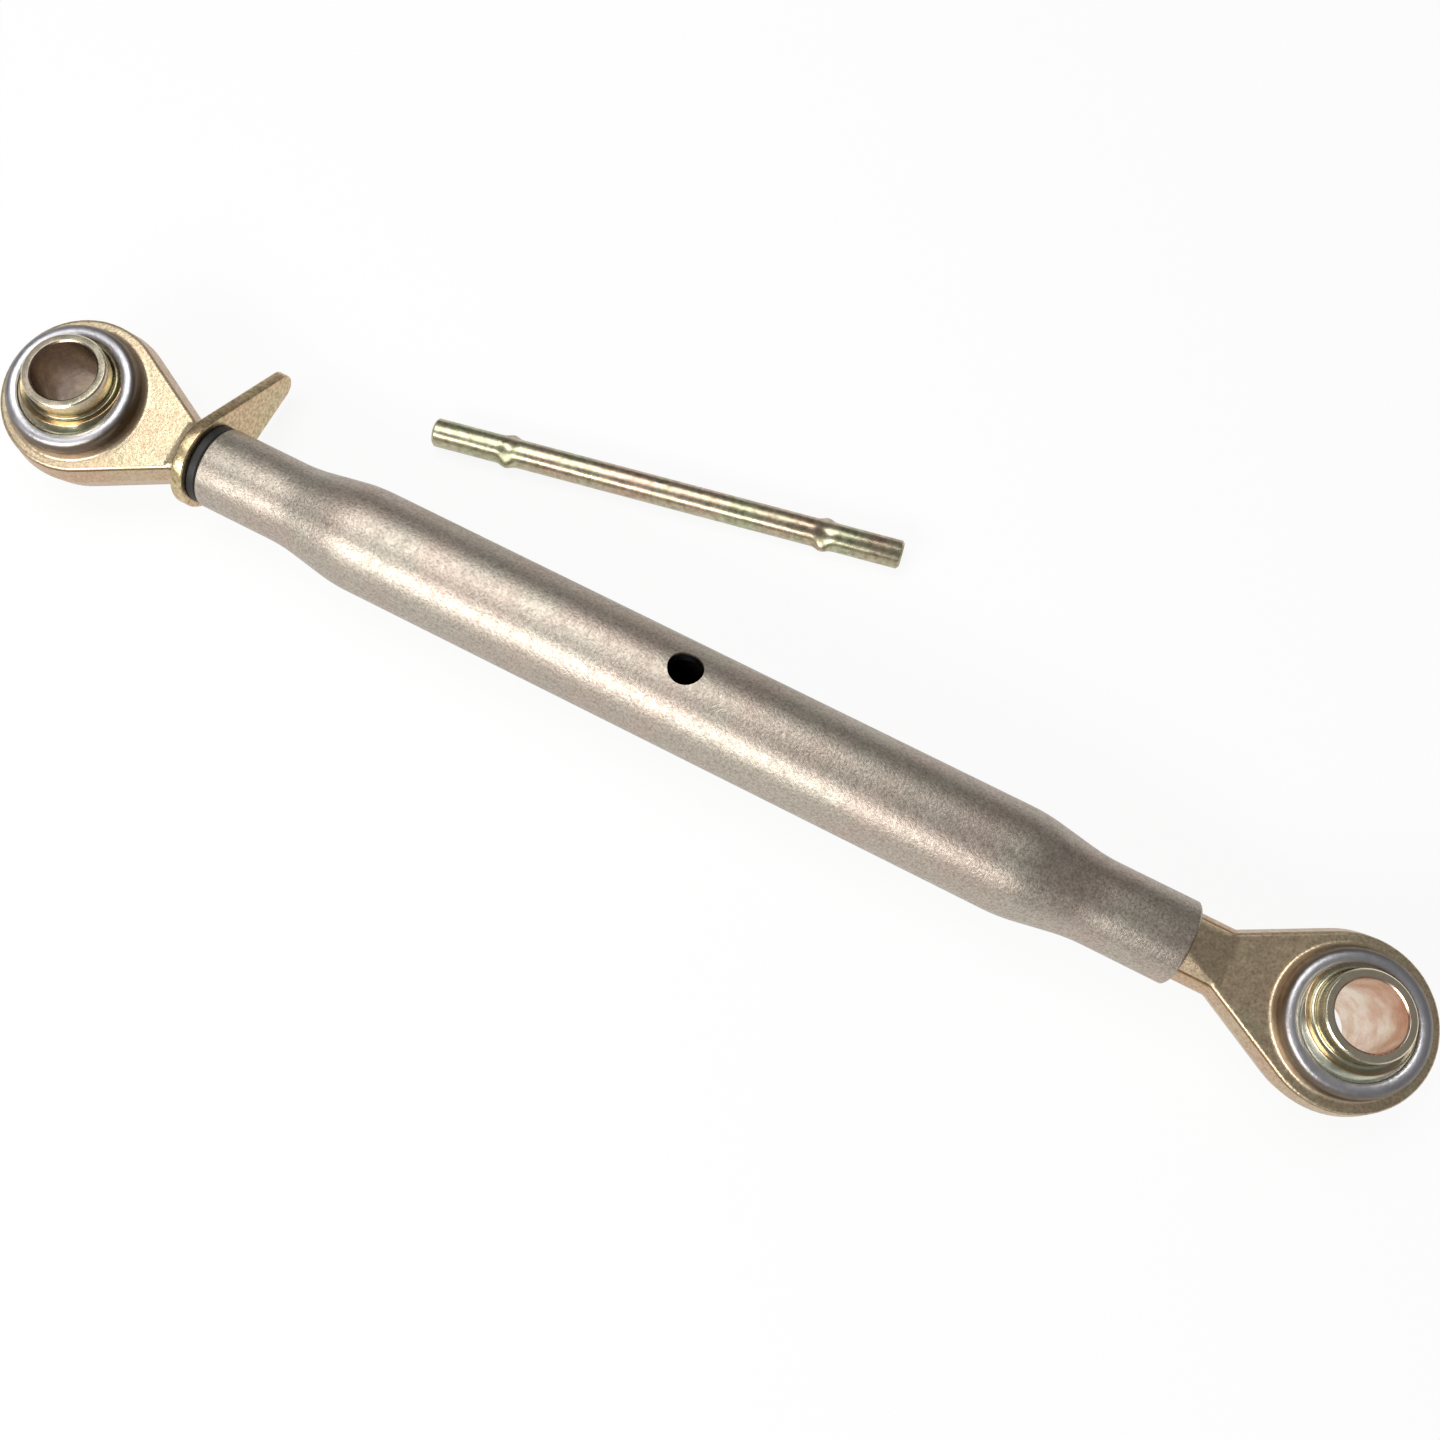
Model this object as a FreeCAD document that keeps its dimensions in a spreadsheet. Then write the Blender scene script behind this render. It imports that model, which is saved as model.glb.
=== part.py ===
"""Screw-adjusted top link for a tractor's three-point linkage, drawn in millimetres.

A swaged barrel joins two forged eye ends by a left-hand and a right-hand thread. A swivelling
ball sits in each eye, a lock nut and a seal ring close one end of the barrel, and a loose
tommy bar turns it.

The origin is the middle of the barrel, where the tommy hole crosses its axis.
+X runs along the link towards the eye without the lock nut, and +Z along the pin bores.
"""
import FreeCAD, Part
import os
import re

import Sketcher
from FreeCAD import Placement, Rotation, Vector

doc = FreeCAD.newDocument("TopLink")

# ---------------------------------------------------------------------------
# Driving dimensions
# ---------------------------------------------------------------------------

SIZES = [
    # barrel, swaged down from a plain tube at both ends
    ("barrel_length", 416.0),
    ("barrel_diameter", 43.0),
    ("barrel_wall", 5.0),
    ("neck_diameter", 33.6),
    ("neck_length", 38.0),
    ("taper_length", 26.0),
    ("swage_radius", 70.0),
    ("rim_chamfer", 0.8),
    ("tommy_hole_diameter", 14.0),
    ("tommy_hole_angle", 12.7),
    ("tommy_hole_chamfer", 0.6),
    # thread, drawn as a plain shank in a plain bore
    ("thread_diameter", 27.0),
    ("thread_clearance", 0.05),
    ("shank_end_gap", 14.0),
    ("shank_chamfer", 2.0),
    # forged eye end
    ("eye_reach", 62.0),
    ("eye_radius", 33.7),
    ("eye_thickness", 19.0),
    ("eye_draft", 10.0),
    ("eye_edge_radius", 1.0),
    ("eye_roll", 7.2),
    ("flank_angle", 28.0),
    ("flank_end_width", 17.0),
    ("neck_blend_length", 15.0),
    ("neck_blend_diameter", 16.0),
    # collar swaged over the ball on both faces of the eye
    ("collar_foot_radius", 27.6),
    ("collar_foot_fillet", 1.2),
    ("collar_lip_height", 17.4),
    ("collar_crest_height", 18.4),
    ("collar_crest_radius", 3.6),
    # swivelling ball
    ("ball_diameter", 53.7),
    ("ball_clearance", 0.05),
    ("ball_width", 51.0),
    ("sleeve_diameter", 32.8),
    ("sleeve_chamfer", 0.6),
    ("sleeve_fillet", 0.9),
    ("pin_bore_diameter", 25.7),
    # lock nut with its ear
    ("nut_thickness", 5.0),
    ("nut_diameter", 38.4),
    ("nut_edge_radius", 0.7),
    ("ear_reach", 50.5),
    ("ear_tip_radius", 4.0),
    ("ear_drop_angle", 15.5),
    # seal ring between the lock nut and the barrel
    ("seal_thickness", 3.8),
    ("seal_diameter", 33.0),
    ("seal_edge_radius", 0.8),
    ("seal_gap", 0.1),
    # tommy bar, lying beside the link on the plane the balls stand on
    ("bar_length", 203.0),
    ("bar_diameter", 12.0),
    ("bar_end_chamfer", 1.0),
    ("pinch_offset", 33.0),
    ("pinch_span", 15.3),
    ("pinch_length", 7.0),
    ("pinch_thickness", 5.0),
    ("pinch_depth", 0.9),
    ("bar_rest_x", -49.0),
    ("bar_rest_y", 82.0),
    ("bar_rest_angle", 11.5),
]

sheet = doc.addObject("Spreadsheet::Sheet", "Sizes")
for row, (alias, size) in enumerate(SIZES, start=1):
    sheet.set(f"A{row}", alias)
    sheet.set(f"B{row}", str(size))
    sheet.setAlias(f"B{row}", alias)
doc.recompute()

# Sizes that several pieces share, as formulas on the sheet's cells. Angles are in degrees.
BARREL_END = "(barrel_length / 2)"
THREAD_RADIUS = "(thread_diameter / 2)"
THREAD_BORE = "(thread_diameter / 2 + thread_clearance)"
SOCKET_RADIUS = "(ball_diameter / 2 + ball_clearance)"


# ---------------------------------------------------------------------------
# Drawing helpers
# ---------------------------------------------------------------------------

def formula(text):
    """Point each size name in a formula at its cell: every such name has an underscore."""
    return re.sub(r"\b[a-z]+(?:_[a-z]+)+\b", r"Sizes.\g<0>", text)


def bind(feature, **properties):
    """Tie properties of a feature to formulas on the sheet."""
    for name, text in properties.items():
        feature.setExpression(name, formula(text))


def number(text):
    """What a formula on the sheet comes to now."""
    return float(sheet.evalExpression(formula(text)))


def new_body(label):
    body = doc.addObject("PartDesign::Body", label)
    body.Label = label
    return body


def new_sketch(body, name, plane):
    """An empty sketch on one of the body's own origin planes."""
    sketch = body.newObject("Sketcher::SketchObject", name)
    base = next(item for item in body.Origin.OriginFeatures if item.Role == plane)
    sketch.AttachmentSupport = [(base, "")]
    sketch.MapMode = "FlatFace"
    return sketch


def tie(sketch, kind, *references, to):
    """Add a dimension to a sketch and tie it to a formula."""
    index = sketch.addConstraint(Sketcher.Constraint(kind, *references, number(to)))
    sketch.setExpression(f"Constraints[{index}]", formula(to))


def arc_between(start, end, radius, long_way):
    """Counter-clockwise arc from start to end."""
    chord = end - start
    rise = (radius ** 2 - chord.Length ** 2 / 4) ** 0.5
    left = Vector(-chord.y, chord.x, 0).normalize()
    centre = (start + end) / 2 + left * (-rise if long_way else rise)
    circle = Part.Circle(centre, Vector(0, 0, 1), radius)
    return Part.ArcOfCircle(circle, circle.parameter(start), circle.parameter(end))


def draw_outline(sketch, corners, arcs=()):
    """Close a wire through corners given as formulas.

    arcs maps the number of a side to (radius, turn): turn is "left" or "right" for the way
    the side bends, or "left round" for the long way round.
    """
    arcs = dict(arcs)
    points = [Vector(number(x), number(y), 0) for x, y in corners]
    ends = []
    for side, start in enumerate(points):
        end = points[(side + 1) % len(points)]
        if side not in arcs:
            line = sketch.addGeometry(Part.LineSegment(start, end))
            ends.append(((line, 1), (line, 2)))
            continue
        radius, turn = arcs[side]
        if turn == "right":
            arc = sketch.addGeometry(arc_between(end, start, number(radius), False))
            ends.append(((arc, 2), (arc, 1)))
        else:
            arc = sketch.addGeometry(arc_between(start, end, number(radius), turn == "left round"))
            ends.append(((arc, 1), (arc, 2)))
        tie(sketch, "Radius", arc, to=radius)
    for side, (first, _) in enumerate(ends):
        last = ends[side - 1][1]
        sketch.addConstraint(Sketcher.Constraint("Coincident", *last, *first))
        for kind, axis, text in (("DistanceX", -2, corners[side][0]), ("DistanceY", -1, corners[side][1])):
            if text == "0":
                sketch.addConstraint(Sketcher.Constraint("PointOnObject", *first, axis))
            else:
                tie(sketch, kind, -1, 1, *first, to=text)


def draw_circle(sketch, radius):
    """A circle about the sketch's origin."""
    circle = sketch.addGeometry(Part.Circle(Vector(), Vector(0, 0, 1), number(radius)))
    sketch.addConstraint(Sketcher.Constraint("Coincident", circle, 3, -1, 1))
    tie(sketch, "Radius", circle, to=radius)


def turn_about(body, kind, name, sketch, axis):
    """A Revolution or a Groove of a sketch about its own H_Axis or V_Axis."""
    feature = body.newObject(f"PartDesign::{kind}", name)
    feature.Profile = sketch
    feature.ReferenceAxis = (sketch, [axis])
    feature.Angle = 360
    sketch.Visibility = False
    doc.recompute()
    return feature


def edges_where(feature, test):
    """Names of the feature's edges whose middle point passes the test."""
    names = []
    for index, edge in enumerate(feature.Shape.Edges, start=1):
        middle = edge.valueAt((edge.FirstParameter + edge.LastParameter) / 2)
        if test(middle):
            names.append(f"Edge{index}")
    return names


def dress_edges(body, kind, name, base, names, **sizes):
    """A Fillet or a Chamfer on named edges of a feature."""
    feature = body.newObject(f"PartDesign::{kind}", name)
    feature.Base = (base, names)
    bind(feature, **sizes)
    doc.recompute()
    return feature


def near(value, target):
    return abs(value - target) < 1e-4


# ---------------------------------------------------------------------------
# Barrel: a tube swaged down to a threaded neck at each end, drilled across its
# middle for the tommy bar
# ---------------------------------------------------------------------------

def make_barrel():
    body = new_body("barrel")
    neck_start = f"({BARREL_END} - neck_length)"
    taper_start = f"({BARREL_END} - neck_length - taper_length)"
    outer = [
        (f"{BARREL_END} - rim_chamfer", "neck_diameter / 2"),
        (neck_start, "neck_diameter / 2"),
        (taper_start, "barrel_diameter / 2"),
    ]
    inner = [
        (taper_start, "barrel_diameter / 2 - barrel_wall"),
        (neck_start, THREAD_BORE),
        (BARREL_END, THREAD_BORE),
        (BARREL_END, "neck_diameter / 2 - rim_chamfer"),
    ]
    half = outer + inner
    mirrored = [(f"-({x})", y) for x, y in reversed(half)]
    # Walk the outside from right to left, and the bore back from left to right.
    corners = outer + mirrored[len(inner):] + mirrored[:len(inner)] + inner
    wall = new_sketch(body, "BarrelWall", "XZ_Plane")
    draw_outline(wall, corners)
    tube = turn_about(body, "Revolution", "BarrelTube", wall, "H_Axis")

    swages = edges_where(tube, lambda p: any(
        near(abs(p.x), number(x)) and near(Vector(0, p.y, p.z).Length, number(radius))
        for x, radius in ((neck_start, "neck_diameter / 2"), (taper_start, "barrel_diameter / 2"))))
    swaged = dress_edges(body, "Fillet", "SwageBlends", tube, swages, Radius="swage_radius")

    drill = new_sketch(body, "TommyHoleOutline", "XY_Plane")
    bind(drill, **{".AttachmentOffset.Rotation.Angle": "-tommy_hole_angle"})
    drill.AttachmentOffset = Placement(Vector(), Rotation(Vector(1, 0, 0), -number("tommy_hole_angle")))
    draw_circle(drill, "tommy_hole_diameter / 2")
    hole = body.newObject("PartDesign::Pocket", "TommyHole")
    hole.Profile = drill
    hole.Type = "ThroughAll"
    hole.SideType = "Symmetric"
    doc.recompute()
    rims = edges_where(hole, lambda p: abs(p.x) < number("tommy_hole_diameter")
                       and near(Vector(0, p.y, p.z).Length, number("barrel_diameter / 2")))
    dress_edges(body, "Chamfer", "TommyHoleRims", hole, rims, Size="tommy_hole_chamfer")
    return body


# ---------------------------------------------------------------------------
# Eye end: a drop forging with a flat drafted eye, a round neck and a threaded
# shank, its collar swaged over the ball on both faces. Drawn about the eye's
# centre with the shank towards +X.
# ---------------------------------------------------------------------------

def make_eye_end(label, side):
    """side is -1 for the lock-nut end and +1 for the plain end."""
    body = new_body(label)

    # Drafted plate: a round nose with two straight flanks that run into the neck.
    tangent = ("eye_radius * sin(flank_angle)", "eye_radius * cos(flank_angle)")
    flank_end = "((eye_radius / cos(flank_angle) - flank_end_width / 2) / tan(flank_angle))"
    outline = new_sketch(body, "EyeOutline", "XY_Plane")
    draw_outline(outline, [
        tangent,
        (tangent[0], f"-{tangent[1]}"),
        (flank_end, "-flank_end_width / 2"),
        (flank_end, "flank_end_width / 2"),
    ], arcs={0: ("eye_radius", "left round")})
    plate = body.newObject("PartDesign::Pad", "EyePlate")
    plate.Profile = outline
    plate.SideType = "Two sides"
    bind(plate, Length="eye_thickness / 2", Length2="eye_thickness / 2",
         TaperAngle="-eye_draft", TaperAngle2="-eye_draft")
    doc.recompute()
    rims = edges_where(plate, lambda p: near(abs(p.z), number("eye_thickness / 2")))
    softened = dress_edges(body, "Fillet", "PlateEdges", plate, rims, Radius="eye_edge_radius")

    # Round neck and shank, with a cone that sinks the neck into the plate.
    neck_start = f"((eye_radius / cos(flank_angle) - {THREAD_RADIUS}) / tan(flank_angle))"
    shank_end = f"(eye_reach + {BARREL_END} - shank_end_gap)"
    shank_outline = new_sketch(body, "ShankOutline", "XZ_Plane")
    draw_outline(shank_outline, [
        (f"{neck_start} - neck_blend_length", "0"),
        (shank_end, "0"),
        (shank_end, f"{THREAD_RADIUS} - shank_chamfer"),
        (f"{shank_end} - shank_chamfer", THREAD_RADIUS),
        (neck_start, THREAD_RADIUS),
        (f"{neck_start} - neck_blend_length", "neck_blend_diameter / 2"),
    ])
    turn_about(body, "Revolution", "Shank", shank_outline, "H_Axis")

    # Collar: steep outside, round crest, and a lip that closes over the ball.
    lip = f"sqrt({SOCKET_RADIUS} ^ 2 - collar_lip_height ^ 2)"
    crest_z = "(collar_crest_height - collar_crest_radius)"
    crest_x = f"({lip} + sqrt(collar_crest_radius ^ 2 - (collar_lip_height - {crest_z}) ^ 2))"
    collar_outline = new_sketch(body, "CollarOutline", "XZ_Plane")
    draw_outline(collar_outline, [
        (lip, "-collar_lip_height"),
        (f"{crest_x} + collar_crest_radius", f"-{crest_z}"),
        ("collar_foot_radius", "-eye_thickness / 2"),
        ("collar_foot_radius", "eye_thickness / 2"),
        (f"{crest_x} + collar_crest_radius", crest_z),
        (lip, "collar_lip_height"),
    ], arcs={0: ("collar_crest_radius", "left"), 4: ("collar_crest_radius", "left")})
    collar = turn_about(body, "Revolution", "Collar", collar_outline, "V_Axis")
    feet = edges_where(collar, lambda p: near(abs(p.z), number("eye_thickness / 2"))
                       and near(Vector(p.x, p.y, 0).Length, number("collar_foot_radius")))
    dress_edges(body, "Fillet", "CollarFeet", collar, feet, Radius="collar_foot_fillet")

    # Spherical seat for the ball, open at both lips.
    seat = body.newObject("PartDesign::SubtractiveSphere", "BallSeat")
    bind(seat, Radius=SOCKET_RADIUS)
    doc.recompute()

    facing = Rotation(Vector(0, 0, 1), 0 if side < 0 else 180)
    rolled = Rotation(Vector(1, 0, 0), number("eye_roll"))
    body.Placement = Placement(Vector(side * number(f"{BARREL_END} + eye_reach"), 0, 0), rolled * facing)
    return body


# ---------------------------------------------------------------------------
# Ball: a sphere with a sleeve standing out on both sides, bored for the pin
# ---------------------------------------------------------------------------

def make_ball(label, side):
    body = new_body(label)
    sleeve = "(sleeve_diameter / 2)"
    bore = "(pin_bore_diameter / 2)"
    face = "(ball_width / 2)"
    shoulder = "sqrt((ball_diameter / 2) ^ 2 - (sleeve_diameter / 2) ^ 2)"
    section = new_sketch(body, "BallSection", "XZ_Plane")
    upper = [
        (sleeve, shoulder),
        (sleeve, f"{face} - sleeve_chamfer"),
        (f"{sleeve} - sleeve_chamfer", face),
        (f"{bore} + sleeve_chamfer", face),
        (bore, f"{face} - sleeve_chamfer"),
    ]
    lower = [(x, f"-({z})") for x, z in reversed(upper)]
    draw_outline(section, upper + lower, arcs={len(upper + lower) - 1: ("ball_diameter / 2", "left")})
    ball = turn_about(body, "Revolution", "Ball", section, "V_Axis")
    corners = edges_where(ball, lambda p: near(abs(p.z), number(shoulder))
                          and near(Vector(p.x, p.y, 0).Length, number(sleeve)))
    dress_edges(body, "Fillet", "SleeveFillets", ball, corners, Radius="sleeve_fillet")
    body.Placement = Placement(Vector(side * number(f"{BARREL_END} + eye_reach"), 0, 0), Rotation())
    return body


# ---------------------------------------------------------------------------
# Lock nut: a flat forged nut drawn out on one side into an ear to knock it round by
# ---------------------------------------------------------------------------

def make_lock_nut():
    body = new_body("lock_nut")
    ring = "(nut_diameter / 2)"
    slope = f"asin(({ring} - ear_tip_radius) / ear_reach)"
    root = (f"{ring} * sin({slope})", f"{ring} * cos({slope})")
    tip = (f"ear_reach + ear_tip_radius * sin({slope})", f"ear_tip_radius * cos({slope})")
    outline = new_sketch(body, "NutOutline", "YZ_Plane")
    draw_outline(outline, [
        (root[0], f"-{root[1]}"),
        (tip[0], f"-{tip[1]}"),
        tip,
        root,
    ], arcs={1: ("ear_tip_radius", "left"), 3: (ring, "left round")})
    draw_circle(outline, THREAD_BORE)
    plate = body.newObject("PartDesign::Pad", "NutPlate")
    plate.Profile = outline
    bind(plate, Length="nut_thickness")
    doc.recompute()
    rims = edges_where(plate, lambda p: not near(p.x, number("nut_thickness / 2"))
                       and Vector(0, p.y, p.z).Length > number(THREAD_BORE) + 1)
    dress_edges(body, "Fillet", "NutEdges", plate, rims, Radius="nut_edge_radius")
    back = number(f"{BARREL_END} + seal_thickness + 2 * seal_gap + nut_thickness")
    body.Placement = Placement(Vector(-back, 0, 0),
                               Rotation(Vector(1, 0, 0), -number("ear_drop_angle")))
    return body


# ---------------------------------------------------------------------------
# Seal ring: rubber, held between the lock nut and the end of the barrel
# ---------------------------------------------------------------------------

def make_seal_ring():
    body = new_body("seal_ring")
    outline = new_sketch(body, "SealOutline", "YZ_Plane")
    draw_circle(outline, "seal_diameter / 2")
    draw_circle(outline, THREAD_BORE)
    ring = body.newObject("PartDesign::Pad", "SealBand")
    ring.Profile = outline
    bind(ring, Length="seal_thickness")
    doc.recompute()
    rims = edges_where(ring, lambda p: not near(p.x, number("seal_thickness / 2"))
                       and near(Vector(0, p.y, p.z).Length, number("seal_diameter / 2")))
    dress_edges(body, "Fillet", "SealEdges", ring, rims, Radius="seal_edge_radius")
    body.Placement = Placement(Vector(-number(f"{BARREL_END} + seal_gap + seal_thickness"), 0, 0),
                               Rotation())
    return body


# ---------------------------------------------------------------------------
# Tommy bar: a plain round bar, pinched near each end so that it can't drop
# through the tommy hole
# ---------------------------------------------------------------------------

def make_tommy_bar():
    body = new_body("tommy_bar")
    half = "(bar_length / 2)"
    radius = "(bar_diameter / 2)"
    profile = new_sketch(body, "BarProfile", "XZ_Plane")
    draw_outline(profile, [
        (f"-{half}", "0"),
        (half, "0"),
        (half, f"{radius} - bar_end_chamfer"),
        (f"{half} - bar_end_chamfer", radius),
        (f"-{half} + bar_end_chamfer", radius),
        (f"-{half}", f"{radius} - bar_end_chamfer"),
    ])
    turn_about(body, "Revolution", "Bar", profile, "H_Axis")

    # The press squeezes the bar from two sides, and the metal spreads into two ears.
    station = f"({half} - pinch_offset)"
    ears_outline = new_sketch(body, "PinchEarsOutline", "XY_Plane")
    tip = "pinch_length / 5"
    draw_outline(ears_outline, [
        (f"{station} - pinch_length / 2", "0"),
        (f"{station} - {tip}", "-pinch_span / 2"),
        (f"{station} + {tip}", "-pinch_span / 2"),
        (f"{station} + pinch_length / 2", "0"),
        (f"{station} + {tip}", "pinch_span / 2"),
        (f"{station} - {tip}", "pinch_span / 2"),
    ])
    ears = body.newObject("PartDesign::Pad", "PinchEars")
    ears.Profile = ears_outline
    ears.SideType = "Symmetric"
    bind(ears, Length="pinch_thickness")
    doc.recompute()

    dents_outline = new_sketch(body, "PinchDentsOutline", "XZ_Plane")
    floor = f"({radius} - pinch_depth)"
    for sign in ("", "-"):
        rows = [
            (f"{station} - pinch_length / 2", f"{sign}{radius}"),
            (f"{station} - {tip}", f"{sign}{floor}"),
            (f"{station} + {tip}", f"{sign}{floor}"),
            (f"{station} + pinch_length / 2", f"{sign}{radius}"),
        ]
        draw_outline(dents_outline, rows)
    dents = body.newObject("PartDesign::Pocket", "PinchDents")
    dents.Profile = dents_outline
    dents.Type = "ThroughAll"
    dents.SideType = "Symmetric"
    doc.recompute()

    both = body.newObject("PartDesign::Mirrored", "PinchPair")
    both.Originals = [ears, dents]
    mirror = next(item for item in body.Origin.OriginFeatures if item.Role == "YZ_Plane")
    both.MirrorPlane = (mirror, [""])
    body.Tip = both
    doc.recompute()

    lying = Vector(number("bar_rest_x"), number("bar_rest_y"), number(f"{radius} - ball_width / 2"))
    body.Placement = Placement(lying, Rotation(Vector(0, 0, 1), number("bar_rest_angle")))
    return body


# ---------------------------------------------------------------------------
# Build, check and write one STEP file for each piece
# ---------------------------------------------------------------------------

pieces = [
    make_barrel(),
    make_eye_end("eye_end_lock_side", -1),
    make_eye_end("eye_end_plain_side", +1),
    make_ball("ball_lock_side", -1),
    make_ball("ball_plain_side", +1),
    make_lock_nut(),
    make_seal_ring(),
    make_tommy_bar(),
]
doc.recompute()

for item in doc.Objects:
    if {"Invalid", "Error"} & set(item.State):
        raise RuntimeError(f"{item.Name} did not build: {item.State}")
for piece in pieces:
    if piece.Shape.isNull() or not piece.Shape.isValid():
        raise RuntimeError(f"{piece.Label} has no valid shape")

os.makedirs("parts", exist_ok=True)
for piece in pieces:
    piece.Shape.exportStep(os.path.join("parts", f"{piece.Label}.step"))
    box = piece.Shape.BoundBox
    print(f"{piece.Label}: {len(piece.Shape.Solids)} solid, {piece.Shape.Volume / 1000:.1f} cm3, "
          f"x {box.XMin:.1f}..{box.XMax:.1f}, y {box.YMin:.1f}..{box.YMax:.1f}, "
          f"z {box.ZMin:.1f}..{box.ZMax:.1f}")
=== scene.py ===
"""Tractor top link: a swaged barrel between two screwed eye ends, each with a swivelling ball."""
import math

import bpy
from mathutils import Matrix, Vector


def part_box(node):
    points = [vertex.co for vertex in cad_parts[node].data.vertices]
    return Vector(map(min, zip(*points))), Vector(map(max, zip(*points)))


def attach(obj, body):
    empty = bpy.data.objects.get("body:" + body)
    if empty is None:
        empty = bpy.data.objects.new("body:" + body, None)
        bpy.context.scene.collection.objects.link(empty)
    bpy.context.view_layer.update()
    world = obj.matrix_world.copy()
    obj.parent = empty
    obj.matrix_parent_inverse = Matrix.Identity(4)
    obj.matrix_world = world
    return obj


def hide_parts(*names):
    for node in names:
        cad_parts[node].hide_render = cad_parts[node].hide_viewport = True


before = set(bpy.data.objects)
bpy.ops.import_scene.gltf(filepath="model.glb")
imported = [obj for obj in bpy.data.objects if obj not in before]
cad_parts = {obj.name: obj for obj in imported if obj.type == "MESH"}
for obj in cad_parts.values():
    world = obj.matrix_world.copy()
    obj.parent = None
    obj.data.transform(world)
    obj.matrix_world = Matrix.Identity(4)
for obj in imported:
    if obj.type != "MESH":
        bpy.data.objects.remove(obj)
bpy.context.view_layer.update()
bpy.ops.object.select_all(action="DESELECT")

# ---------------------------------------------------------------------------
# Stage: a pale floor under the link, a large soft lamp low at the front, a weaker
# one above, and a dim even room. The floor looks white and keeps a faint shadow.
# ---------------------------------------------------------------------------

scene = bpy.context.scene
scene.view_settings.view_transform = "Standard"

bpy.ops.object.camera_add(
    location=(0.07451, -0.14344, 0.50217),
    rotation=[math.radians(angle) for angle in (16.821, -1.605, 26.970)])
camera = bpy.context.object
camera.name = "camera"
camera.data.sensor_width = 36.0
camera.data.lens = 34.217
scene.camera = camera

floor_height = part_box("ball_lock_side")[0].z


class Value:
    """One output of a shader node. Arithmetic on it adds Math nodes."""

    def __init__(self, tree, socket):
        self.tree = tree
        self.socket = socket

    def _math(self, operation, *values):
        node = self.tree.nodes.new("ShaderNodeMath")
        node.operation = operation
        for slot, value in zip(node.inputs, values):
            if isinstance(value, Value):
                self.tree.links.new(value.socket, slot)
            else:
                slot.default_value = value
        return Value(self.tree, node.outputs[0])

    def __add__(self, other):
        return self._math("ADD", self, other)

    def __radd__(self, other):
        return self._math("ADD", other, self)

    def __sub__(self, other):
        return self._math("SUBTRACT", self, other)

    def __rsub__(self, other):
        return self._math("SUBTRACT", other, self)

    def __mul__(self, other):
        return self._math("MULTIPLY", self, other)

    def __rmul__(self, other):
        return self._math("MULTIPLY", other, self)

    def __abs__(self):
        return self._math("ABSOLUTE", self)


class Finish:
    """A material, or the world, built node by node."""

    def __init__(self, owner):
        owner.use_nodes = True
        self.tree = owner.node_tree
        self.tree.nodes.clear()

    def add(self, kind, inputs=None, output=0, **settings):
        """A node of any type: its settings first, then the values or links of its sockets."""
        node = self.tree.nodes.new(f"ShaderNode{kind}")
        stops = settings.pop("stops", None)
        for name, value in settings.items():
            setattr(node, name, value)
        if stops:
            ramp = node.color_ramp
            while len(ramp.elements) < len(stops):
                ramp.elements.new(1.0)
            for element, (place, colour) in zip(ramp.elements, stops):
                element.position = place
                element.color = (*colour, 1.0)
        for name, value in (inputs or {}).items():
            if isinstance(value, Value):
                self.tree.links.new(value.socket, node.inputs[name])
            else:
                node.inputs[name].default_value = value
        return Value(self.tree, node.outputs[output]) if node.outputs else None


room_light = 0.20
world = bpy.data.worlds.new("studio")
scene.world = world
room = Finish(world)
background = room.add("Background", {"Color": (1.0, 1.0, 1.0, 1.0), "Strength": room_light})
room.add("OutputWorld", {"Surface": background})

bpy.ops.mesh.primitive_plane_add(size=8.0, location=(0.0, 0.0, floor_height))
bpy.ops.object.transform_apply(location=True, rotation=False, scale=False)
floor = bpy.context.object
floor.name = "floor"
paper = bpy.data.materials.new("white_paper")
sheet = Finish(paper)
diffuse = sheet.add("BsdfDiffuse", {"Color": (0.94, 0.94, 0.94, 1.0)})
white = sheet.add("Emission", {"Color": (1.0, 1.0, 1.0, 1.0)})
# Most of the floor's look is plain white. The rest is its diffuse surface, with the shadow.
plain_white = 0.9
seen_by_camera = sheet.add("LightPath", output=0)
seen_in_gloss = sheet.add("LightPath", output=3)
seen_through = sheet.add("LightPath", output=6)
lit = (seen_by_camera + seen_in_gloss + seen_through) * plain_white
sheet.add("OutputMaterial", {"Surface": sheet.add("MixShader", {0: lit, 1: diffuse, 2: white})})
floor.data.materials.append(paper)


def softbox(name, place, aim, width, height, power):
    """A rectangular lamp at a place, turned to face a point."""
    bpy.ops.object.light_add(type="AREA", location=place)
    lamp = bpy.context.object
    lamp.name = name
    lamp.rotation_euler = (Vector(aim) - Vector(place)).to_track_quat("-Z", "Y").to_euler()
    lamp.data.shape = "RECTANGLE"
    lamp.data.size = width
    lamp.data.size_y = height
    lamp.data.energy = power


softbox("front_softbox", (-0.35, -1.10, 0.75), (0.0, 0.0, 0.0), 1.2, 0.35, 15.0)
softbox("top_softbox", (-0.45, 0.25, 1.2), (0.0, 0.0, 0.0), 1.1, 0.6, 9.0)

# ---------------------------------------------------------------------------
# Barrel: drawn steel tube, its ends swaged down hot to threaded necks, which leaves
# a rough satin surface under the zinc. The tommy hole is drilled across its middle.
# ---------------------------------------------------------------------------

barrel_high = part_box("barrel")[1]
barrel_end = barrel_high.x
barrel_radius = barrel_high.z
thread_radius = 0.0135
sides_round = 128  # flat sides round every turned piece


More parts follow.
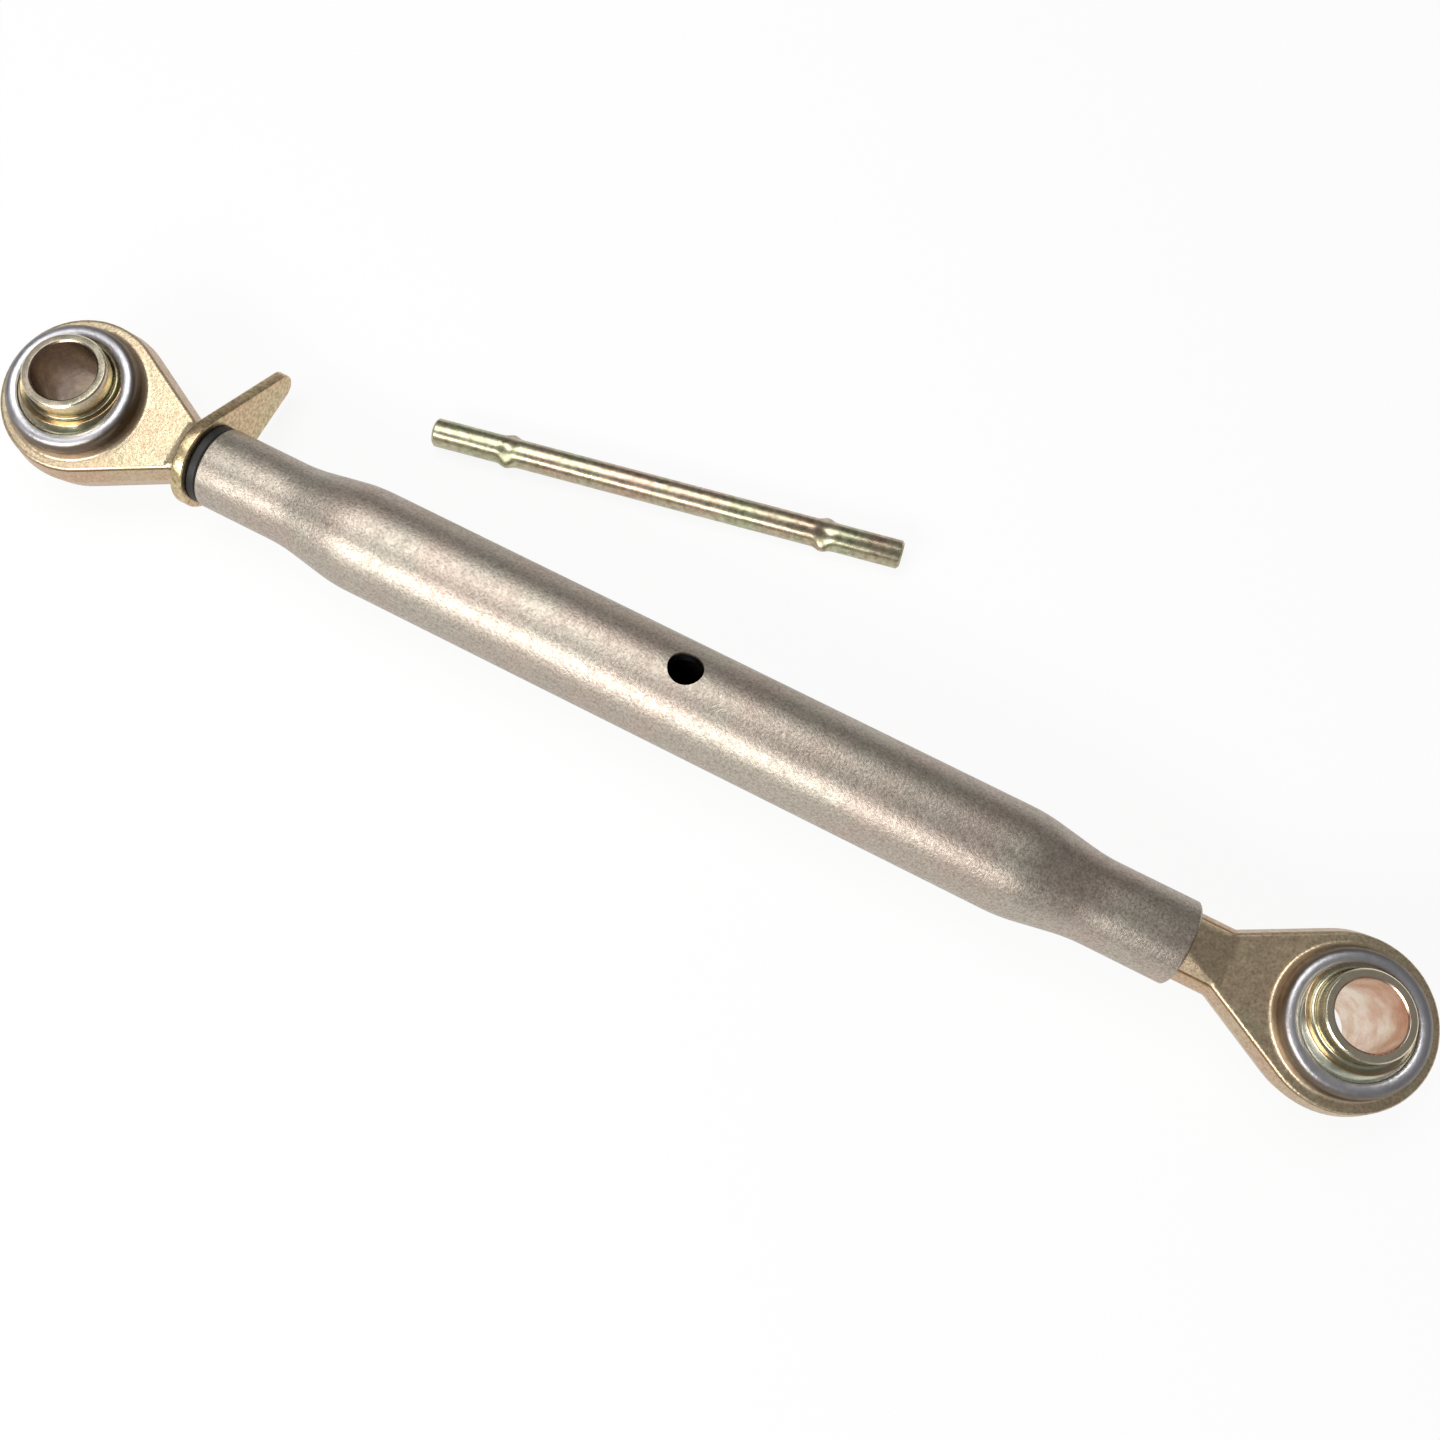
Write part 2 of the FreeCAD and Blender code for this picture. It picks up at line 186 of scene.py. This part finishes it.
def rounded(corners):
    """Points of an open line through corners (a, b, radius), each corner turned into an arc."""
    points = [Vector(corners[0][:2])]
    for before, corner, after in zip(corners, corners[1:], corners[2:]):
        here = Vector(corner[:2])
        if corner[2] == 0.0:
            points.append(here)
            continue
        back = (Vector(before[:2]) - here).normalized()
        ahead = (Vector(after[:2]) - here).normalized()
        half = back.angle(ahead) / 2.0
        centre = here + (back + ahead).normalized() * (corner[2] / math.sin(half))
        start = here + back * (corner[2] / math.tan(half)) - centre
        turn = start.angle_signed(here + ahead * (corner[2] / math.tan(half)) - centre)
        steps = max(2, round(abs(turn) / math.radians(9.0)), round(abs(turn) * corner[2] / 0.002))
        for step in range(steps + 1):
            angle = -turn * step / steps
            cos, sin = math.cos(angle), math.sin(angle)
            arm = Vector((start.x * cos - start.y * sin, start.x * sin + start.y * cos))
            points.append(centre + arm)
    points.append(Vector(corners[-1][:2]))
    return points


def only(piece):
    """Make the piece the one object that is selected and active."""
    bpy.ops.object.select_all(action="DESELECT")
    piece.select_set(True)
    bpy.context.view_layer.objects.active = piece


def turned(name, points, axis, closed=True):
    """Extrude a vertex along (distance along the axis, radius) points and spin it round the axis."""
    bpy.ops.object.select_all(action="DESELECT")
    bpy.ops.mesh.primitive_plane_add(size=0.001)
    piece = bpy.context.object
    piece.name = name
    along, out = Vector((1, 0, 0)), Vector((0, 0, 1))
    if axis == "Z":
        along, out = out, along
    path = [along * a + out * r for a, r in points]
    if closed:
        path.append(path[0])
    bpy.ops.object.mode_set(mode="EDIT")
    bpy.ops.mesh.select_all(action="SELECT")
    bpy.ops.mesh.merge(type="CENTER")
    bpy.ops.transform.translate(value=path[0])
    for here, after in zip(path, path[1:]):
        bpy.ops.mesh.extrude_region_move(TRANSFORM_OT_translate={"value": after - here})
    bpy.ops.mesh.select_all(action="SELECT")
    bpy.ops.mesh.spin(steps=sides_round, angle=math.tau, center=(0, 0, 0), axis=along)
    bpy.ops.mesh.select_all(action="SELECT")
    bpy.ops.mesh.remove_doubles(threshold=1e-6)
    bpy.ops.mesh.normals_make_consistent(inside=False)
    bpy.ops.object.mode_set(mode="OBJECT")
    return piece


def smooth(piece, angle):
    """Shade the piece smooth across edges that turn less than an angle in degrees."""
    only(piece)
    bpy.ops.object.shade_smooth_by_angle(angle=math.radians(angle))


def apply_modifier(piece, kind, **settings):
    """Add one modifier and apply it at once."""
    only(piece)
    modifier = piece.modifiers.new(kind.lower(), kind)
    for name, value in settings.items():
        setattr(modifier, name, value)
    bpy.ops.object.modifier_apply(modifier=modifier.name)


neck_radius = 0.0168
neck_length = 0.038
taper_length = 0.026
swage_bend = 0.070
neck_start = barrel_end - neck_length
taper_start = neck_start - taper_length
bore_radius = thread_radius + 0.00005
wall = 0.005
rim = 0.0008
rim_middle = (bore_radius + neck_radius - rim) / 2

outside = [
    (barrel_end, neck_radius - rim, 0.0003),
    (barrel_end - rim, neck_radius, 0.0004),
    (neck_start, neck_radius, swage_bend),
    (taper_start, barrel_radius, swage_bend),
]
middle = [(step * 0.001, barrel_radius, 0.0) for step in range(12, -13, -1)]
inside = [
    (-barrel_end, bore_radius, 0.0003),
    (-neck_start, bore_radius, 0.0),
    (-taper_start, barrel_radius - wall, 0.0),
    (taper_start, barrel_radius - wall, 0.0),
    (neck_start, bore_radius, 0.0),
    (barrel_end, bore_radius, 0.0003),
    (barrel_end, rim_middle, 0.0),
]
outline = ([(barrel_end, rim_middle, 0.0)] + outside + middle
           + [(-x, r, bend) for x, r, bend in reversed(outside)] + inside)
barrel = turned("swaged_barrel", rounded(outline)[:-1], "X")

hole_tilt = math.radians(12.7)
hole_radius = 0.007
bpy.ops.mesh.primitive_cylinder_add(
    vertices=96, radius=hole_radius, depth=4 * barrel_radius, rotation=(-hole_tilt, 0.0, 0.0))
drill = bpy.context.object
apply_modifier(barrel, "BOOLEAN", operation="DIFFERENCE", object=drill, solver="EXACT")
bpy.data.objects.remove(drill)
smooth(barrel, 25.0)
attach(barrel, "barrel")
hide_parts("barrel")


def blend(finish, mask, low, high, how="MIX"):
    """One colour laid over another by a mask."""
    return finish.add("Mix", {0: mask, 6: low, 7: high}, output=2, data_type="RGBA", blend_type=how)


def step_mask(finish, value, start, end):
    """0 up to the start and 1 from the end on."""
    return finish.add("MapRange", {"Value": value, "From Min": start, "From Max": end})


def plating(name, light, dark, tint_a, tint_b, grain, rough, bump, zones=None):
    """Zinc plating over steel: a grainy surface whose colour drifts between two tints."""
    material = bpy.data.materials.new(name)
    finish = Finish(material)
    place = finish.add("TexCoord", output=3)
    fine = finish.add("TexNoise", {"Vector": place, "Scale": grain, "Detail": 3.0, "Roughness": 0.6})
    speckle = finish.add("TexNoise", {"Vector": place, "Scale": grain * 0.35, "Detail": 2.0})
    drift = finish.add("TexNoise", {"Vector": place, "Scale": 45.0, "Detail": 2.0})
    metal = finish.add("ValToRGB", {"Fac": fine}, stops=[(0.30, dark), (0.62, light)])
    tint = finish.add("ValToRGB", {"Fac": drift}, stops=[(0.38, tint_a), (0.62, tint_b)])
    colour = blend(finish, 1.0, metal, tint, "MULTIPLY")
    if zones:
        colour = zones(finish, place, colour)
    height = fine * 0.6 + speckle * 0.4
    normal = finish.add("Bump", {"Height": height, "Strength": 1.0, "Distance": bump})
    roughness = rough + (speckle - 0.5) * 0.25
    shader = finish.add("BsdfPrincipled", {
        "Base Color": colour, "Metallic": 1.0, "Roughness": roughness, "Normal": normal})
    finish.add("OutputMaterial", {"Surface": shader})
    return material


# Painted shade inside the tube: the radius it starts from, the depth it fades over, and its reach from the
# hole.
painted_shade_from = 0.0208
wall_depth = 0.0008
hole_reach = 0.03


def painted_shade_inside(finish, place, metal):
    """The tube's inside near the tommy hole is painted near-black as shade, where it shows through the hole.
    """
    across = finish.add("VectorMath", {0: place, 1: (0.0, 1.0, 1.0)}, operation="MULTIPLY")
    radius = finish.add("VectorMath", {0: across}, output=1, operation="LENGTH")
    along = abs(finish.add("SeparateXYZ", {"Vector": place}, output=0))
    inside = step_mask(finish, radius, painted_shade_from, painted_shade_from - wall_depth)
    near_hole = step_mask(finish, along, hole_reach + 0.01, hole_reach)
    # Painted shade: near-black laid on the inside wall near the hole.
    return blend(finish, inside * near_hole, metal, (0.006, 0.006, 0.005, 1.0))


barrel.data.materials.clear()
barrel.data.materials.append(plating(
    "barrel_plating", (0.56, 0.515, 0.465), (0.34, 0.295, 0.255), (1.0, 0.92, 0.87), (0.98, 0.97, 0.91),
    grain=1000.0, rough=0.46, bump=0.00020, zones=painted_shade_inside))

# ---------------------------------------------------------------------------
# Eye ends: drop forgings, each with a drafted eye, collars swaged over the ball on
# both faces, and a shank with a rolled thread of its own hand. Yellow zinc over all.
# ---------------------------------------------------------------------------

eye_reach = 0.062
eye_centre = barrel_end + eye_reach
eye_roll = math.radians(7.2)
thread_start = 0.064
shank_gap = 0.014
thread_end = eye_centre - shank_gap
pitch = 0.003


def finish_place(piece, side):
    """Move a piece drawn about the eye's centre, its neck towards +X, to its end of the link."""
    only(piece)
    piece.rotation_euler = (eye_roll, 0.0, 0.0) if side < 0 else (-eye_roll, 0.0, math.pi)
    piece.location = (side * eye_centre, 0.0, 0.0)
    bpy.ops.object.transform_apply(location=True, rotation=True, scale=False)


# The solid is carried over, brought back to the eye's own axes and cut off at the thread.
forging = bpy.data.objects.new("forging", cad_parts["eye_end_lock_side"].data.copy())
scene.collection.objects.link(forging)
only(forging)
bpy.ops.object.mode_set(mode="EDIT")
bpy.ops.mesh.select_all(action="SELECT")
bpy.ops.mesh.remove_doubles(threshold=1e-6)
bpy.ops.transform.translate(value=(eye_centre, 0.0, 0.0))
bpy.ops.object.mode_set(mode="OBJECT")
forging.rotation_euler = (-eye_roll, 0.0, 0.0)
bpy.ops.object.transform_apply(location=True, rotation=True, scale=False)
bpy.ops.object.mode_set(mode="EDIT")
bpy.ops.mesh.select_all(action="SELECT")
bpy.ops.mesh.bisect(plane_co=(thread_start, 0, 0), plane_no=(1, 0, 0), clear_outer=True, use_fill=True)
bpy.ops.object.mode_set(mode="OBJECT")

# The neck keeps the thread's full width, planed flat where the eye's faces run out on it.
face_height = 0.0095
flats_end = 0.046
collar_clear = 0.030
neck_steps = [collar_clear + 0.001 * step for step in range(1, 35)]
neck_outline = [(x, thread_radius) for x in neck_steps]
neck = turned("neck", [(neck_steps[0], 0.0)] + neck_outline + [(neck_steps[-1], 0.0)], "X", closed=False)


def trim_to_flats(piece):
    """Bring all metal outside the collar's foot down to the eye's faces and the neck's flats."""
    for vertex in piece.data.vertices:
        if vertex.co.x > collar_clear:
            run_out = min(max((vertex.co.x - flats_end) / (eye_reach - flats_end), 0.0), 1.0)
            limit = face_height + (thread_radius - face_height) * run_out
            vertex.co.z = max(-limit, min(limit, vertex.co.z))


trim_to_flats(neck)
only(forging)
neck.select_set(True)
bpy.ops.object.join()
apply_modifier(forging, "REMESH", mode="VOXEL", voxel_size=0.0005)
trim_to_flats(forging)
apply_modifier(forging, "SMOOTH", factor=0.5, iterations=6)
apply_modifier(forging, "DECIMATE", ratio=0.45)
smooth(forging, 60.0)

# Thread: one turn of the form, screwed along the shank round a plain core.
root_radius = 0.0118
crest_radius = thread_radius - 0.00005
core = turned("core", [
    (thread_start - 0.001, 0.0), (thread_start - 0.001, root_radius),
    (thread_end - 0.0005, root_radius), (thread_end, root_radius - 0.0005), (thread_end, 0.0)],
    "X", closed=False)


def thread(name, hand):
    """A helical ridge from the neck to the shank's end: hand is 1 for right and -1 for left."""
    bpy.ops.object.select_all(action="DESELECT")
    bpy.ops.mesh.primitive_plane_add(size=0.001)
    piece = bpy.context.object
    piece.name = name
    form = [(0.0, root_radius - 0.0002), (0.0003, root_radius), (0.0012, crest_radius),
            (0.0018, crest_radius), (0.0027, root_radius), (0.003, root_radius - 0.0002)]
    path = [Vector((thread_start - pitch + a, 0.0, r)) for a, r in form]
    bpy.ops.object.mode_set(mode="EDIT")
    bpy.ops.mesh.select_all(action="SELECT")
    bpy.ops.mesh.merge(type="CENTER")
    bpy.ops.transform.translate(value=path[0])
    for here, after in zip(path, path[1:]):
        bpy.ops.mesh.extrude_region_move(TRANSFORM_OT_translate={"value": after - here})
    bpy.ops.object.mode_set(mode="OBJECT")
    turns = math.floor((thread_end - thread_start) / pitch)
    apply_modifier(piece, "SCREW", axis="X", angle=hand * math.tau, screw_offset=pitch,
                   iterations=turns, steps=40, render_steps=40, use_merge_vertices=True,
                   merge_threshold=1e-6, use_normal_calculate=True)
    bpy.ops.object.mode_set(mode="EDIT")
    bpy.ops.mesh.select_all(action="SELECT")
    bpy.ops.mesh.remove_doubles(threshold=2e-6)
    bpy.ops.mesh.normals_make_consistent(inside=False)
    bpy.ops.object.mode_set(mode="OBJECT")
    return piece


def round_axis(finish, place, side, turn):
    """Distance from an eye's axis, and height above or below the eye's middle plane."""
    own = finish.add("Mapping", {"Vector": place, "Location": (side * eye_centre, 0.0, 0.0),
                                 "Rotation": turn}, vector_type="TEXTURE")
    flat = finish.add("VectorMath", {0: own, 1: (1.0, 1.0, 0.0)}, operation="MULTIPLY")
    radius = finish.add("VectorMath", {0: flat}, output=1, operation="LENGTH")
    return radius, abs(finish.add("SeparateXYZ", {"Vector": own}, output=2))


# The collar's colours run over 40 mm from the eye's axis, and the flank's over 10 mm
# from its middle plane. The face starts where the collar's foot ends.
collar_span = 1 / 0.040
flank_span = 1 / 0.010
foot_start = 0.0274
foot_end = 0.0281


def eye_zones(side):
    """Burnished grey collar with a painted highlight at its lip and painted shade in dark brown on its outer
    slope, and a painted shade line in dark brown where face meets flank.
    """
    turn = (eye_roll, 0.0, 0.0) if side < 0 else (-eye_roll, 0.0, math.pi)

    def zones(finish, place, metal):
        radius, height = round_axis(finish, place, side, turn)
        # Collar: a painted highlight in pale lilac-white at the lip, burnished greys, then painted shade in
        # dark brown on the outer slope.
        collar = finish.add("ValToRGB", {"Fac": radius * collar_span}, stops=[
            (0.510, (0.92, 0.88, 0.90)), (0.545, (0.66, 0.65, 0.68)), (0.612, (0.50, 0.49, 0.51)),
            (0.640, (0.20, 0.16, 0.12)), (0.672, (0.11, 0.08, 0.06)), (0.692, (0.62, 0.52, 0.42))])
        # Flank: a pinkish tint, then a painted shade line in dark brown along the rounded edge to the face.
        flank = finish.add("ValToRGB", {"Fac": height * flank_span}, stops=[
            (0.76, (0.80, 0.73, 0.72)), (0.83, (0.34, 0.24, 0.15)), (0.87, (0.34, 0.24, 0.15)),
            (0.91, (1.0, 1.0, 1.0))])
        face = blend(finish, 1.0, metal, flank, "MULTIPLY")
        return blend(finish, step_mask(finish, radius, foot_start, foot_end), collar, face)

    return zones


for side, hand, body, node in ((-1, -1, "lock_side_eye", "eye_end_lock_side"),
                               (1, 1, "plain_side_eye", "eye_end_plain_side")):
    label = node.removeprefix("eye_end_")
    eye = bpy.data.objects.new(f"forged_eye_{label}", forging.data.copy())
    scene.collection.objects.link(eye)
    shank = bpy.data.objects.new(f"shank_core_{label}", core.data.copy())
    scene.collection.objects.link(shank)
    ridge = thread(f"rolled_thread_{label}", hand)
    for piece in (eye, shank, ridge):
        finish_place(piece, side)
        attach(piece, body)
        piece.data.materials.clear()
        piece.data.materials.append(plating(
            f"forging_plating_{piece.name}", (0.78, 0.67, 0.50), (0.52, 0.41, 0.27),
            (1.0, 0.92, 0.86), (0.98, 0.98, 0.91), grain=900.0, rough=0.40, bump=0.00016,
            zones=eye_zones(side) if piece is eye else None))
    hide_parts(node)
    smooth(shank, 30.0)
    smooth(ridge, 30.0)
bpy.data.objects.remove(forging)
bpy.data.objects.remove(core)

# ---------------------------------------------------------------------------
# Balls: turned from bar with a sleeve on each side, a narrow shoulder beside it, and a
# bore for the pin, then zinc plated and passivated. The swaged collars hold them.
# ---------------------------------------------------------------------------

half_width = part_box("ball_lock_side")[1].z
ball_radius = 0.02685
sleeve_radius = 0.0164
pin_radius = 0.01285
chamfer = 0.0006
shoulder_radius = 0.0199
shoulder_floor = 0.0168
shoulder_fillet = 0.0012
sphere_steps = 40
shoulder_angle = math.asin(shoulder_radius / ball_radius)
sphere = [(shoulder_floor, sleeve_radius, shoulder_fillet)]
for step in range(sphere_steps + 1):
    angle = shoulder_angle + (math.pi - 2 * shoulder_angle) * step / sphere_steps
    bend = 0.0004 if step in (0, sphere_steps) else 0.0
    sphere.append((ball_radius * math.cos(angle), ball_radius * math.sin(angle), bend))
sphere.append((-shoulder_floor, sleeve_radius, shoulder_fillet))
sleeve_edge = [
    (half_width, (pin_radius + sleeve_radius) / 2, 0.0),
    (half_width, sleeve_radius - chamfer, 0.0002),
    (half_width - chamfer, sleeve_radius, 0.0002),
]
bore_edge = [
    (-half_width, (pin_radius + sleeve_radius) / 2, 0.0),
    (-half_width, pin_radius + chamfer, 0.0002),
    (-half_width + chamfer, pin_radius, 0.0002),
]
section = (sleeve_edge + sphere + [(-z, r, bend) for z, r, bend in reversed(sleeve_edge[1:])]
           + bore_edge + [(-z, r, bend) for z, r, bend in reversed(bore_edge)])
ball = turned("ball", rounded(section)[:-1], "Z")
smooth(ball, 30.0)

# The colours outside run over 27.8 mm from the ball's middle plane.
sphere_span = 1 / 0.0278
bore_margin = 0.0137
bore_edge_radius = 0.0133


def ball_zones(side, painted_sphere_tone, painted_bore_bright, painted_bore_dim):
    """Sphere in a painted tone of its own per ball, a painted orange highlight in the shoulder corner, a
    sleeve painted in shade at its foot, gold above and a painted cream reflection on its end face, and a
    bore with mottled painted light and shade.
    """
    def zones(finish, place, metal):
        radius, height = round_axis(finish, place, side, (0.0, 0.0, 0.0))
        # Painted by height: the sphere's tone, an orange highlight in the shoulder corner, shade at the
        # sleeve's foot, then gold and a cream reflection on the end face.
        outside = finish.add("ValToRGB", {"Fac": height * sphere_span}, stops=[
            (0.50, painted_sphere_tone), (0.625, painted_sphere_tone), (0.655, (0.62, 0.32, 0.12)),
            (0.70, (0.44, 0.40, 0.33)), (0.85, (0.70, 0.62, 0.47)), (0.912, (0.88, 0.79, 0.62))])
        cloud = finish.add("TexNoise", {"Vector": place, "Scale": 90.0, "Detail": 2.0})
        # Painted reflection in the bore, mottled between the given bright and dim tones.
        bore = finish.add("ValToRGB", {"Fac": cloud}, stops=[(0.42, painted_bore_dim), (0.60, painted_bore_bright)])
        in_bore = step_mask(finish, radius, bore_margin, bore_edge_radius)
        toned = blend(finish, in_bore, outside, bore)
        return blend(finish, 0.65, metal, toned)

    return zones


# Lit and shaded copies of one finish: the lock-side ball gets painted shade and the plain-side ball painted
# light, on its sphere and in its bore.
painted_shade_tones = ((0.13, 0.14, 0.09), (0.30, 0.20, 0.16), (0.13, 0.09, 0.10))
painted_light_tones = ((0.66, 0.70, 0.60), (0.86, 0.68, 0.58), (0.66, 0.36, 0.26))
for side, body, node, tones in ((-1, "lock_side_ball", "ball_lock_side", painted_shade_tones),
                                (1, "plain_side_ball", "ball_plain_side", painted_light_tones)):
    piece = bpy.data.objects.new("turned_" + node, ball.data.copy())
    scene.collection.objects.link(piece)
    only(piece)
    piece.location = (side * eye_centre, 0.0, 0.0)
    bpy.ops.object.transform_apply(location=True, rotation=False, scale=False)
    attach(piece, body)
    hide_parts(node)
    piece.data.materials.clear()
    piece.data.materials.append(plating(
        f"ball_plating_{node}", (0.74, 0.66, 0.50), (0.50, 0.42, 0.28),
        (1.0, 0.88, 0.86), (0.92, 1.0, 0.88),
        grain=500.0, rough=0.25, bump=0.00004, zones=ball_zones(side, *tones)))
bpy.data.objects.remove(ball)

# ---------------------------------------------------------------------------
# Lock nut: a flat forged plate nut, drawn out to one side into an ear that a hand
# or a hammer turns. It locks the barrel on its thread. Yellow zinc.
# ---------------------------------------------------------------------------

nut_low, nut_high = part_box("lock_nut")
ear_drop = math.radians(15.5)
ring_radius = 0.0192
ear_length = 0.0490
ear_tip = 0.0055
nut_edge = 0.0007
slope = math.asin((ring_radius - ear_tip) / ear_length)

bpy.ops.object.select_all(action="DESELECT")
bpy.ops.mesh.primitive_plane_add(size=0.001)
nut = bpy.context.object
nut.name = "forged_lock_nut"
rim_points = []
for step in range(73):
    angle = math.pi / 2 - slope + (math.pi + 2 * slope) * step / 72
    rim_points.append(Vector((nut_low.x, ring_radius * math.cos(angle), ring_radius * math.sin(angle))))
for step in range(17):
    angle = -math.pi / 2 + slope + (math.pi - 2 * slope) * step / 16
    rim_points.append(Vector((nut_low.x, ear_length + ear_tip * math.cos(angle), ear_tip * math.sin(angle))))
bpy.ops.object.mode_set(mode="EDIT")
bpy.ops.mesh.select_all(action="SELECT")
bpy.ops.mesh.merge(type="CENTER")
bpy.ops.transform.translate(value=rim_points[0])
for here, after in zip(rim_points, rim_points[1:] + rim_points[:1]):
    bpy.ops.mesh.extrude_region_move(TRANSFORM_OT_translate={"value": after - here})
bpy.ops.mesh.select_all(action="SELECT")
bpy.ops.mesh.remove_doubles(threshold=1e-6)
bpy.ops.mesh.select_all(action="SELECT")
bpy.ops.mesh.edge_face_add()
bpy.ops.mesh.extrude_region_move(TRANSFORM_OT_translate={"value": (nut_high.x - nut_low.x, 0, 0)})
bpy.ops.mesh.select_all(action="SELECT")
bpy.ops.mesh.normals_make_consistent(inside=False)
bpy.ops.object.mode_set(mode="OBJECT")
bpy.ops.mesh.primitive_cylinder_add(
    vertices=96, radius=bore_radius, depth=0.02, location=(nut_low.x, 0, 0), rotation=(0, math.pi / 2, 0))
drill = bpy.context.object
apply_modifier(nut, "BOOLEAN", operation="DIFFERENCE", object=drill, solver="EXACT")
bpy.data.objects.remove(drill)
apply_modifier(nut, "BEVEL", width=nut_edge, segments=4, limit_method="ANGLE",
               angle_limit=math.radians(50))
only(nut)
nut.rotation_euler = (-ear_drop, 0.0, 0.0)
bpy.ops.object.transform_apply(location=True, rotation=True, scale=False)
smooth(nut, 30.0)
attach(nut, "lock_nut")
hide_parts("lock_nut")
nut.data.materials.clear()
nut.data.materials.append(plating(
    "nut_plating", (0.70, 0.57, 0.37), (0.34, 0.25, 0.14), (1.0, 0.90, 0.86), (0.96, 1.0, 0.90),
    grain=600.0, rough=0.34, bump=0.00012))

# ---------------------------------------------------------------------------
# Seal ring: black rubber, moulded with rounded outer edges. It lies between the nut
# and the barrel and keeps dirt out of the thread.
# ---------------------------------------------------------------------------

seal_low, seal_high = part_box("seal_ring")
seal_radius = seal_high.z
seal_edge = 0.0008
ring = [
    (seal_low.x, (bore_radius + seal_radius) / 2, 0.0),
    (seal_low.x, seal_radius, seal_edge),
    (seal_high.x, seal_radius, seal_edge),
    (seal_high.x, bore_radius, 0.0002),
    (seal_low.x, bore_radius, 0.0002),
    (seal_low.x, (bore_radius + seal_radius) / 2, 0.0),
]
seal = turned("rubber_seal", rounded(ring)[:-1], "X")
smooth(seal, 40.0)
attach(seal, "barrel_carrier")
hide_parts("seal_ring")
rubber = bpy.data.materials.new("seal_rubber")
black = Finish(rubber)
place = black.add("TexCoord", output=3)
mottle = black.add("TexNoise", {"Vector": place, "Scale": 900.0, "Detail": 3.0})
tone = black.add("ValToRGB", {"Fac": mottle}, stops=[
    (0.3, (0.010, 0.010, 0.010)), (0.7, (0.022, 0.021, 0.020))])
dent = black.add("Bump", {"Height": mottle, "Strength": 0.6, "Distance": 0.0001})
black.add("OutputMaterial", {"Surface": black.add("BsdfPrincipled", {
    "Base Color": tone, "Roughness": 0.55 + (mottle - 0.5) * 0.3, "Normal": dent})})
seal.data.materials.clear()
seal.data.materials.append(rubber)

# ---------------------------------------------------------------------------
# Tommy bar: drawn round bar, sawn to length and squeezed near each end, where the
# metal spreads into two ears that stop it in the hole. Yellow zinc.
# ---------------------------------------------------------------------------

bar_low, bar_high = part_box("tommy_bar")
bar_centre = (bar_low + bar_high) / 2
bar_half = 0.1015
bar_radius = 0.006
bar_turn = math.radians(11.5)
bar_chamfer = 0.001
chamfer_bend = 0.0003
pinch_place = bar_half - 0.033
pinch_reach = 0.005
ear_spread = 0.27
flat_press = 0.10
sharpness = 8
stations = [
    (-bar_half, 0.0, 0.0),
    (-bar_half, bar_radius - bar_chamfer, chamfer_bend),
    (-bar_half + bar_chamfer, bar_radius, chamfer_bend),
]
stations += [(end * pinch_place + step * 0.0004, bar_radius, 0.0)
             for end in (-1, 1) for step in range(-14, 15)]
stations += [
    (bar_half - bar_chamfer, bar_radius, chamfer_bend),
    (bar_half, bar_radius - bar_chamfer, chamfer_bend),
    (bar_half, 0.0, 0.0),
]
bar = turned("drawn_tommy_bar", rounded(stations), "X", closed=False)
for vertex in bar.data.vertices:
    reach = abs(abs(vertex.co.x) - pinch_place) / pinch_reach
    if reach < 1.0:
        squeeze = 0.5 + 0.5 * math.cos(math.pi * reach)
        side_share = (abs(vertex.co.y) / bar_radius) ** sharpness
        vertex.co.y *= 1.0 + ear_spread * squeeze * side_share
        vertex.co.z *= 1.0 - flat_press * squeeze * (1.0 - side_share)
only(bar)
bar.rotation_euler = (0.0, 0.0, bar_turn)
bar.location = (bar_centre.x, bar_centre.y, floor_height + bar_radius)
bpy.ops.object.transform_apply(location=True, rotation=True, scale=False)
smooth(bar, 40.0)
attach(bar, "tommy_bar")
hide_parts("tommy_bar")
bar.data.materials.clear()
bar.data.materials.append(plating(
    "bar_plating", (0.56, 0.50, 0.40), (0.32, 0.27, 0.19), (1.0, 0.86, 0.82), (0.88, 1.0, 0.84),
    grain=420.0, rough=0.30, bump=0.00005))
